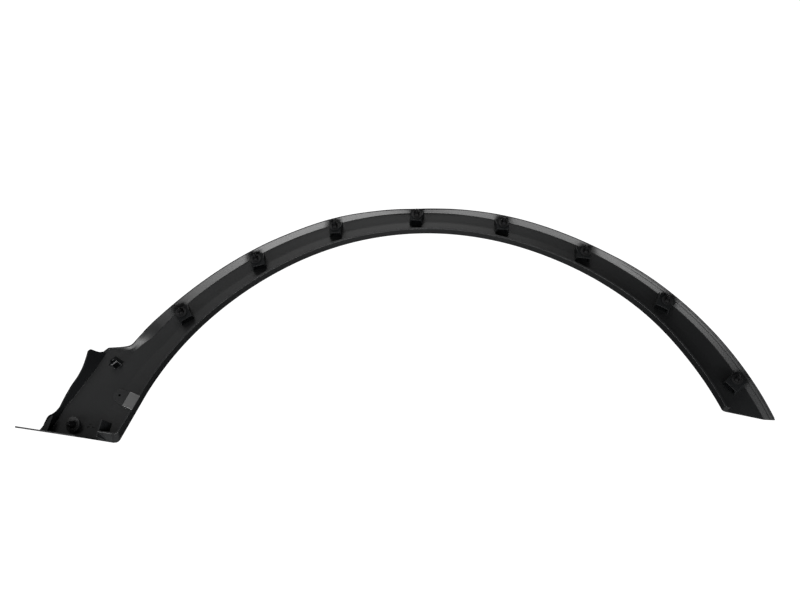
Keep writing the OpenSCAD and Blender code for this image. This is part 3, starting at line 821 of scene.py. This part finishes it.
def at_arch(angle, out, degrees):
    a = math.radians(angle)
    return TO_METRES @ shift(WHEEL[0] + (ARCH_R + out) * math.sin(a), 0,
                             WHEEL[1] + (ARCH_R + out) * math.cos(a)) @ turn("Y", degrees)


for angle, out, degrees, wider, longer, aside in tower_places:
    here = at_arch(angle, out, degrees)
    w, front = TOWER_W + wider, TOWER_FRONT + longer
    side = 1 if angle < 0 else -1
    add(tower(w, front, TOWER_BACK, TOWER_DRAFT, aside, TOWER_GAP), here)
    add(finger(w, TOWER_BACK, aside, side), here)
    keep_hollow(here, w, front, TOWER_BACK, aside, TOWER_GAP)
lean = shift(0, PANEL, 0) @ turn("Z", -18) @ turn("X", -25) @ shift(0, -PANEL, 0)
at_empty = at_arch(-63.7, 53, -30) @ lean
add(tower(EMPTY_W, EMPTY_DEEP, EMPTY_DEEP, EMPTY_DRAFT, 0, EMPTY_GAP), at_empty)
keep_hollow(at_empty, EMPTY_W, EMPTY_DEEP, EMPTY_DEEP, 0, EMPTY_GAP)
print("towers and fingers:", len(pieces))

# %% [markdown]
# The foot ends in a thin flange that reaches in to the body and a lip beside the rounded corner. They
# share one frame with the other shapes there: Z runs out along the end of the foot and X runs up it.

# %% The flange and the lip of the foot
LEFT_TURN = LEFT_END + 4.1
FLANGE_DEPTH, FLANGE_LEAN, FLANGE_FROM = 36, -14.9, 26
corner_out = opening_r(-LEFT_END) - LEFT_CORNER
at_end = (TO_METRES @ Matrix.Translation(place(-LEFT_END, (corner_out, 0)) / MM)
          @ turn("Y", -LEFT_TURN))
end_l = through(folds, -LEFT_END) - corner_out
reach, depth = end_l + 26, lip_depth(LEFT_END)
flange = solid_block([(FLANGE_FROM, 0), (30, -25.2), (40, -FLANGE_DEPTH), (reach - 6, -FLANGE_DEPTH),
                      (reach, -32), (reach - 7, -16.2), (end_l + 1, 0)], 1.8)
add(bevelled(flange, 0.3), at_end @ turn("Z", FLANGE_LEAN) @ turn("Y", -90) @ mirror((0, 0, 1)))
lip_block = solid_block([(0.3, -0.6), (3.5, -0.6), (7.6, 0.3 - depth), (6, 0.3 - depth)], 21.5, 2.5)
add(bevelled(lip_block, 0.4), at_end)
print("the end of the foot is", round(end_l, 1), "mm long")

# %% [markdown]
# A small web stiffens the end, a sloping rib crosses the end of the lip, and a tongue reaches out to
# hold the wheel liner. The box round the tongue is kept for its painted highlight.

# %% The web, the rib and the tongue
RIB_SLOPE = math.radians(38)
web = solid_block([(-3, 85), (18, 84.5), (17.5, 87), (-3, 95)], 1.6)
add(bevelled(web, 0.3), at_end @ shift(0, -12.3, 0) @ turn("X", 90))
rib_height = depth - 3 - WALL + 0.8
rib_run = rib_height * math.tan(RIB_SLOPE)
rib = solid_block([(0, 0), (-1.8, 0), (-1.8 - rib_run, -rib_height), (-rib_run, -rib_height)], 22)
rib_foot = 25 - (depth - 3) * math.tan(RIB_SLOPE)
add(bevelled(rib, 0.35), at_end @ shift(0.6, 0.8 - WALL, rib_foot) @ turn("Y", 90))
tongue = solid_block([(0, 0), (19, 0), (19, 1.6), (0, 1.6)], 11 + LIP_WALL)
tongue_at = at_end @ turn("Y", LEFT_TURN - STRAIGHT_FROM) @ shift(40, -depth, -0.4) @ turn("X", 8)
add(bevelled(tongue, 0.4), tongue_at)
tongue_box = (tongue_at.inverted(), (-0.1, -0.1, 2.6), (19.1, 1.7, 14))
print("pieces on the moulding:", len(pieces))

# %% [markdown]
# The liner pad is a flat plate with a round end. The screw hole runs through it and on into the foot
# panel, where it stops short of the show face.

# %% The liner pad and its hole
PAD_R, SCREW_R, PAD_T = 8, 1.6, 1.6
round_end = [math.radians(k) for k in range(15, 144, 8)]
pad_outline = [(PAD_R * math.cos(k), PAD_R * math.sin(k)) for k in round_end]
pad_outline += [(-15.4, -10.6), (-15.4, -21), (4, -24)]
pad_at = at_end @ shift(58.8, 0.4 - WALL, 16.6) @ turn("X", 90)
pad = carved(bevelled(solid_block(pad_outline, PAD_T), 0.3), [solid_block(disc(SCREW_R), 12, -4)])
add(pad, pad_at)
hole = moved(solid_block(disc(SCREW_R), 12, -1.4), pad_at)
print("the pad has", len(pieces[-1].faces), "faces")

# %% [markdown]
# Three small marks are sunk beside the foot clip, and a fine crease curves round it. The crease is a
# row of short straight cuts that overlap a little. All of these are carved out of the skin, because a
# bump in the material would vanish from the side.

# %% Marks and crease in the foot
CREASE_HALF, CREASE_OVERLAP = 0.4, 0.15
marks = []
for up, across, length, height in [(17.2, 40.9, 2.6, 1.3), (13.9, 42, 3.4, 2), (14.3, 35.6, 4, 1.5)]:
    x, y = height / 2, length / 2
    marks.append(moved(solid_block([(-x, -y), (x, -y), (x, y), (-x, y)], 2.2),
                       at_end @ shift(up, 1.2 - WALL, across) @ turn("X", 90)))
crease = [(90, 2.9), (80, 2.0), (72, 1.9), (66, 2.4), (57, 4), (51.5, 8), (49.4, 15)]
crease_at = at_end @ shift(0, 0.9 - WALL, 0) @ turn("X", 90) @ mirror((0, 1, 0))
creases = []
for (z0, x0), (z1, x1) in zip(crease, crease[1:]):
    along = Vector((z1 - z0, x1 - x0)).normalized()
    side = Vector((-along[1], along[0])) * CREASE_HALF
    first = Vector((z0, x0)) - along * CREASE_OVERLAP
    last = Vector((z1, x1)) + along * CREASE_OVERLAP
    corners = [first - side, last - side, last + side, first + side]
    creases.append(moved(solid_block([(c[1], c[0]) for c in corners], 3), crease_at))
skin = carved(skin, [hole] + marks + creases)
print("skin has", len(skin.faces), "faces after carving")

# %% [markdown]
# The foot clip sits in a low round boss that leans with it, so that clip points along its own hole in
# the body rather than along the others.

# %% The boss of the foot clip
boss_at = at_end @ shift(14, -WALL, 59) @ turn("Y", -55) @ turn("X", -22) @ turn("X", 90)
boss = carved(bevelled(solid_block(disc(7, 64), 5.6, -1.6), 0.4), [solid_block(disc(2.5), 6, 1.3)])
add(boss, boss_at)
print("pieces with the boss:", len(pieces))

# %% [markdown]
# Everything joins into one object, because the real moulding is one piece. Corners that hardly turn
# leave points less than a thousandth of a millimetre apart, with faces of no width between them, so
# those points are merged. Weighted normals keep the wide faces flat and let only the small radii turn
# the light.

# %% Join the moulding
SAME_POINT = 0.001 * MM


def finish_smooth(thing, materials, degrees):
    """Smooth shading up to an angle, with the materials in their order."""
    for face in thing.data.polygons:
        face.use_smooth = True
    thing.data.set_sharp_from_angle(angle=math.radians(degrees))
    weighted = thing.modifiers.new("even_normals", "WEIGHTED_NORMAL")
    weighted.keep_sharp = True
    for material in materials:
        thing.data.materials.append(material)


for piece in pieces:
    data = bpy.data.meshes.new("part")
    piece.to_mesh(data)
    piece.free()
    skin.from_mesh(data)
    bpy.data.meshes.remove(data)
bmesh.ops.remove_doubles(skin, verts=skin.verts, dist=SAME_POINT)
open_edges = sum(len(edge.link_faces) != 2 for edge in skin.edges)
moulding = as_object(skin, "arch_moulding_skin")
finish_smooth(moulding, moulding_finishes_and_painted_light.values(), 38)
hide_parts("arch_moulding")
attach(moulding, "root")
print("moulding has", len(moulding.data.polygons), "faces and", open_edges, "open edges")

# %% [markdown]
# Each face now takes the finish of its region, and with it that region's painted shade or painted
# highlight. The region is found from the face's place and the way it looks: in or near the box of a
# tower, on the wall of the foot, or in the box of the tongue. Picking the faces by hand would be lost
# whenever the shape is drawn anew.

# %% Give each face its finish
NEAR_TOWER = (3.2, 2, 2)
FACES_FRONT, FACES_RIGHT = -0.8, 0.6
LEFT_OF, BEHIND = -0.36, 0.0105


def within(point, low, high, margin=(0, 0, 0)):
    return all(a - m <= v <= b + m for a, v, b, m in zip(low, point, high, margin))


def region(face):
    centre = face.center
    for inverse, low, high in hollows:
        local = inverse @ centre
        if within(local, low, high):
            return "inside the towers"
        if within(local, low, high, NEAR_TOWER):
            if (inverse.to_3x3() @ face.normal).normalized().z < FACES_FRONT:
                return "front of the towers"
            return "outside of the towers" if local.y < TOWER_FOOT - 0.3 else "panel"
    if centre.x < LEFT_OF and face.normal.x > FACES_RIGHT and centre.y < BEHIND:
        return "wall of the foot"
    inverse, low, high = tongue_box
    return "tongue" if within(inverse @ centre, low, high) else "panel"


order = list(moulding_finishes_and_painted_light)
counts = dict.fromkeys(order, 0)
for face in moulding.data.polygons:
    found = region(face)
    face.material_index = order.index(found)
    counts[found] += 1
print("faces by region:", counts)

# %% [markdown]
# The edge seal is a soft thin strip that sits on the outer land of the rim. Its loft uses the same
# curves, so it follows the rim without a gap, and it draws the fine dark line round the arch.

# %% Edge seal
SEAL_HEIGHT, SEAL_CROWN, SEAL_IN = 1, 1.2, 0.03
SEAL_FROM, SEAL_TO = -57, RIGHT_END - 0.2


def seal_section(a):
    edge = edge_r(a)
    inner, outer = edge - LAND + SEAL_IN, edge - SEAL_IN
    back = mix(rim_depth(a), WALL, foot_share(a))
    top = back + (SEAL_HEIGHT + SEAL_CROWN * at_crown(a))
    return rounded([
        (Vector((inner, back)), 0.1, 1), (Vector((outer, back)), 0.1, 1),
        (Vector((outer, top)), 0.3, 3), (Vector((inner, top - 0.2)), 0.3, 3),
    ])


seal_angles = [a for a in angles if SEAL_FROM < a < SEAL_TO]
seal_skin = loft([[place(slanted(a, p), p) for p in seal_section(a)] for a in seal_angles])
seal = as_object(seal_skin, "edge_seal_strip")
finish_smooth(seal, [seal_rubber], 50)
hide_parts("edge_seal")
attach(seal, "root")
print("seal has", len(seal.data.polygons), "faces")

# %% [markdown]
# The photograph has a pure white ground. The world is therefore white where the camera looks past the
# part, and dim as a light, because black plastic would mirror a bright world from all sides and look
# grey. Light Path tells the two apart.

# %% World
SEEN_WHITE, DIM_LIGHT = 1.1, 0.02
WHITE = (1, 1, 1, 1)

world = bpy.data.worlds.new("white_studio")
bpy.context.scene.world = world
world.use_nodes = True
bpy.context.scene.view_settings.view_transform = "Standard"
tree = world.node_tree
tree.nodes.clear()


def background(strength):
    node = tree.nodes.new("ShaderNodeBackground")
    node.inputs["Color"].default_value = WHITE
    node.inputs["Strength"].default_value = strength
    return node


seen, lit = background(SEEN_WHITE), background(DIM_LIGHT)
out = tree.nodes.new("ShaderNodeOutputWorld")
path = tree.nodes.new("ShaderNodeLightPath")
choose = tree.nodes.new("ShaderNodeMixShader")
wire(tree, [
    (path.outputs["Is Camera Ray"], choose.inputs["Fac"]),
    (lit.outputs["Background"], choose.inputs[1]),
    (seen.outputs["Background"], choose.inputs[2]),
    (choose.outputs["Shader"], out.inputs["Surface"]),
])
print("world", world.name, "has", len(tree.nodes), "nodes")

# %% [markdown]
# Every light is a soft box, an area light that is large enough to show as a soft patch in black
# plastic. A box is given by its brightness rather than its power, so that it can change its size
# without growing brighter.

# %% Helpers for soft boxes
LIGHT_DISTANCE, AIM_Z, PANEL_Z = 1.9, -0.15, -1.15


def soft_box(name, where, aim, size, radiance):
    """A rectangular area light of an even brightness, turned to face a point."""
    data = bpy.data.lights.new(name, "AREA")
    data.shape = "RECTANGLE"
    data.size, data.size_y = size
    data.energy = radiance * math.pi * size[0] * size[1]
    thing = bpy.data.objects.new(name, data)
    thing.location = where
    thing.rotation_euler = (Vector(aim) - Vector(where)).to_track_quat("-Z", "Y").to_euler()
    thing.visible_camera = False
    bpy.context.scene.collection.objects.link(thing)


def on_floor(name, x, y, size, radiance):
    """A panel that lies on the floor and shines up."""
    soft_box(name, (x, y, PANEL_Z), (x, y, 0), size, radiance)


def from_side(name, azimuth, height, size, radiance):
    """A soft box 1.9 m from the trim; azimuth 0 is in front and 90 is to the right."""
    a, h = math.radians(azimuth), math.radians(height)
    where = (LIGHT_DISTANCE * math.cos(h) * math.sin(a), -LIGHT_DISTANCE * math.cos(h) * math.cos(a),
             LIGHT_DISTANCE * math.sin(h) + AIM_Z)
    soft_box(name, where, (0, 0, AIM_Z), size, radiance)


print("panels on the floor lie at", PANEL_Z, "m, and the others stand", LIGHT_DISTANCE, "m away")

# %% [markdown]
# Black plastic shows only what it mirrors, so each light is placed where a form of the part mirrors
# it: the margin mirrors panels on the floor in front of the part, and the face mirrors soft boxes that
# stand high in front of it. Little comes from the right, so the face darkens to that side. One light
# behind serves the views of the show side.

# %% Lights
on_floor("floor_crown", 0, -0.25, (0.8, 0.3), 3)
on_floor("floor_near_left", -0.4, -0.65, (0.8, 0.5), 6.5)
on_floor("floor_near_right", 0.4, -0.65, (0.8, 0.5), 13)
on_floor("floor_middle", 0, -1.15, (1.6, 0.5), 2.5)
on_floor("floor_right", 1.2, -0.9, (0.8, 0.6), 16)
on_floor("floor_left", -1.2, -0.9, (0.8, 0.6), 12)
on_floor("floor_left_far", -2.2, -1.2, (1.0, 0.8), 24)
on_floor("floor_front_left", -1.2, -1.8, (0.8, 0.8), 6)
from_side("front_high", 0, 48, (0.9, 0.9), 2.4)
from_side("left_high", -40, 48, (0.9, 0.9), 2.0)
from_side("left_front", -34, 22, (0.8, 0.9), 0.5)
from_side("behind_high", 165, 48, (1.4, 1.4), 3.5)
from_side("left_low", -60, -20, (0.8, 0.8), 1.6)

# %% [markdown]
# The photograph shows no shadow, so the pale floor lies well below the part, where the camera that
# looks up doesn't see it. It gives the views from above a ground.

# %% Floor
PALE = (0.85, 0.85, 0.85, 1)
floor_mesh = bmesh.new()
bmesh.ops.create_grid(floor_mesh, x_segments=2, y_segments=2, size=3.0)
floor = as_object(floor_mesh, "studio_floor")
floor.location = (0, 0, -1.25)
floor_finish = bpy.data.materials.new("pale_floor")
floor_finish.use_nodes = True
floor_shader = floor_finish.node_tree.nodes["Principled BSDF"]
floor_shader.inputs["Base Color"].default_value = PALE
floor_shader.inputs["Roughness"].default_value = 0.9
floor.data.materials.append(floor_finish)
print("floor lies at", floor.location.z, "m")
